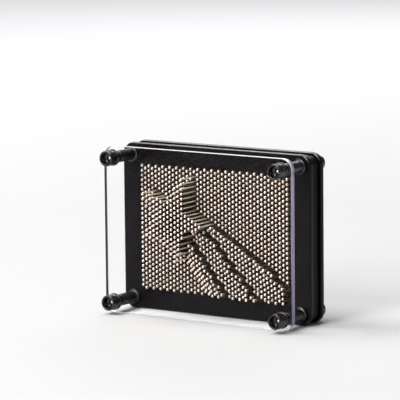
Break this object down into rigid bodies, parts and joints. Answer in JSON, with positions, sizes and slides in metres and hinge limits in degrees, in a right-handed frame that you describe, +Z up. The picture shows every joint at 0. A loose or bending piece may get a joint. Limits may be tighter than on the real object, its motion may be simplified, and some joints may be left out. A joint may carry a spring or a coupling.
{
  "type": "pin art impression toy",
  "caption": "Desktop pin impression toy: a clear window on spacer posts in front of a black two-plate frame whose sliding metal pins hold a raised star with three trails.",
  "frame": {"origin": "middle of the footprint, on the surface the toy stands on", "axes": "+Z up, +X to the right as seen from the front, -Y towards the viewer through the clear window; the pins slide along Y"},
  "size_m": [0.178, 0.0804, 0.136],
  "materials": {
    "clear_acrylic": "polished clear sheet with bright edges",
    "black_plastic": "satin gloss",
    "knob_black": "gloss",
    "screw_steel": "bright",
    "pin_metal": "polished nickel with a warm tint"
  },
  "bodies": {
    "frame": {"front_window": "clear_acrylic", "front_pin_plate": "black_plastic", "side_ring": "black_plastic", "rear_pin_plate": "black_plastic", "front_knob_top_left": "knob_black", "front_knob_top_right": "knob_black", "front_knob_bottom_left": "knob_black", "front_knob_bottom_right": "knob_black", "window_spacer_top_left": "knob_black", "window_spacer_top_right": "knob_black", "window_spacer_bottom_left": "knob_black", "window_spacer_bottom_right": "knob_black", "inner_post_top_left": "black_plastic", "inner_post_top_right": "black_plastic", "inner_post_bottom_left": "black_plastic", "inner_post_bottom_right": "black_plastic", "rear_knob_top_left": "knob_black", "rear_knob_top_right": "knob_black", "rear_knob_bottom_left": "knob_black", "rear_knob_bottom_right": "knob_black", "tie_screw_top_left": "screw_steel", "tie_screw_top_right": "screw_steel", "tie_screw_bottom_left": "screw_steel", "tie_screw_bottom_right": "screw_steel"},
    "star_bank_top": {"star_bank_top": "pin_metal"},
    "star_bank_right": {"star_bank_right": "pin_metal"},
    "star_bank_bottom": {"star_bank_bottom": "pin_metal"},
    "star_bank_lower_left": {"star_bank_lower_left": "pin_metal"},
    "star_bank_upper_left": {"star_bank_upper_left": "pin_metal"},
    "pin_bank_top_centre": {"pin_bank_top_centre": "pin_metal"},
    "pin_bank_top_right_inner": {"pin_bank_top_right_inner": "pin_metal"},
    "pin_bank_middle_right_inner": {"pin_bank_middle_right_inner": "pin_metal"},
    "pin_bank_top_right_outer": {"pin_bank_top_right_outer": "pin_metal"},
    "pin_bank_middle_right_outer": {"pin_bank_middle_right_outer": "pin_metal"},
    "trail_1_crest_bank": {"trail_1_crest_bank": "pin_metal"},
    "trail_1_slope_bank": {"trail_1_slope_bank": "pin_metal"},
    "trail_1_foot_bank": {"trail_1_foot_bank": "pin_metal"},
    "trail_2_crest_bank": {"trail_2_crest_bank": "pin_metal"},
    "trail_2_slope_bank": {"trail_2_slope_bank": "pin_metal"},
    "trail_3_crest_bank": {"trail_3_crest_bank": "pin_metal"},
    "trail_3_slope_bank": {"trail_3_slope_bank": "pin_metal"},
    "pin_bank_bottom_centre": {"pin_bank_bottom_centre": "pin_metal"},
    "pin_bank_bottom_left_outer": {"pin_bank_bottom_left_outer": "pin_metal"},
    "pin_bank_bottom_left_inner": {"pin_bank_bottom_left_inner": "pin_metal"},
    "pin_bank_left": {"pin_bank_left": "pin_metal"},
    "pin_bank_top_left_outer": {"pin_bank_top_left_outer": "pin_metal"},
    "pin_bank_top_left_inner": {"pin_bank_top_left_inner": "pin_metal"}
  },
  "joints": [
    {"name": "slide_star_bank_top", "type": "slide", "parent": "frame", "child": "star_bank_top", "axis": [0, -1, 0], "range_m": [-0.0184, 0.0011]},
    {"name": "slide_star_bank_right", "type": "slide", "parent": "frame", "child": "star_bank_right", "axis": [0, -1, 0], "range_m": [-0.0184, 0.0011]},
    {"name": "slide_star_bank_bottom", "type": "slide", "parent": "frame", "child": "star_bank_bottom", "axis": [0, -1, 0], "range_m": [-0.0184, 0.0011]},
    {"name": "slide_star_bank_lower_left", "type": "slide", "parent": "frame", "child": "star_bank_lower_left", "axis": [0, -1, 0], "range_m": [-0.0184, 0.0011]},
    {"name": "slide_star_bank_upper_left", "type": "slide", "parent": "frame", "child": "star_bank_upper_left", "axis": [0, -1, 0], "range_m": [-0.0184, 0.0011]},
    {"name": "slide_pin_bank_top_centre", "type": "slide", "parent": "frame", "child": "pin_bank_top_centre", "axis": [0, -1, 0], "range_m": [0, 0.0195]},
    {"name": "slide_pin_bank_top_right_inner", "type": "slide", "parent": "frame", "child": "pin_bank_top_right_inner", "axis": [0, -1, 0], "range_m": [0, 0.0195]},
    {"name": "slide_pin_bank_middle_right_inner", "type": "slide", "parent": "frame", "child": "pin_bank_middle_right_inner", "axis": [0, -1, 0], "range_m": [0, 0.0195]},
    {"name": "slide_pin_bank_top_right_outer", "type": "slide", "parent": "frame", "child": "pin_bank_top_right_outer", "axis": [0, -1, 0], "range_m": [0, 0.0195]},
    {"name": "slide_pin_bank_middle_right_outer", "type": "slide", "parent": "frame", "child": "pin_bank_middle_right_outer", "axis": [0, -1, 0], "range_m": [0, 0.0195]},
    {"name": "slide_trail_1_crest_bank", "type": "slide", "parent": "frame", "child": "trail_1_crest_bank", "axis": [0, -1, 0], "range_m": [-0.0056, 0.0105]},
    {"name": "slide_trail_1_slope_bank", "type": "slide", "parent": "frame", "child": "trail_1_slope_bank", "axis": [0, -1, 0], "range_m": [-0.0006, 0.0123]},
    {"name": "slide_trail_1_foot_bank", "type": "slide", "parent": "frame", "child": "trail_1_foot_bank", "axis": [0, -1, 0], "range_m": [-0.0006, 0.0123]},
    {"name": "slide_trail_2_crest_bank", "type": "slide", "parent": "frame", "child": "trail_2_crest_bank", "axis": [0, -1, 0], "range_m": [-0.0056, 0.0105]},
    {"name": "slide_trail_2_slope_bank", "type": "slide", "parent": "frame", "child": "trail_2_slope_bank", "axis": [0, -1, 0], "range_m": [-0.0006, 0.0123]},
    {"name": "slide_trail_3_crest_bank", "type": "slide", "parent": "frame", "child": "trail_3_crest_bank", "axis": [0, -1, 0], "range_m": [-0.0056, 0.0105]},
    {"name": "slide_trail_3_slope_bank", "type": "slide", "parent": "frame", "child": "trail_3_slope_bank", "axis": [0, -1, 0], "range_m": [-0.0006, 0.0123]},
    {"name": "slide_pin_bank_bottom_centre", "type": "slide", "parent": "frame", "child": "pin_bank_bottom_centre", "axis": [0, -1, 0], "range_m": [0, 0.0195]},
    {"name": "slide_pin_bank_bottom_left_outer", "type": "slide", "parent": "frame", "child": "pin_bank_bottom_left_outer", "axis": [0, -1, 0], "range_m": [0, 0.0195]},
    {"name": "slide_pin_bank_bottom_left_inner", "type": "slide", "parent": "frame", "child": "pin_bank_bottom_left_inner", "axis": [0, -1, 0], "range_m": [0, 0.0195]},
    {"name": "slide_pin_bank_left", "type": "slide", "parent": "frame", "child": "pin_bank_left", "axis": [0, -1, 0], "range_m": [0, 0.0195]},
    {"name": "slide_pin_bank_top_left_outer", "type": "slide", "parent": "frame", "child": "pin_bank_top_left_outer", "axis": [0, -1, 0], "range_m": [0, 0.0195]},
    {"name": "slide_pin_bank_top_left_inner", "type": "slide", "parent": "frame", "child": "pin_bank_top_left_inner", "axis": [0, -1, 0], "range_m": [0, 0.0195]}
  ]
}
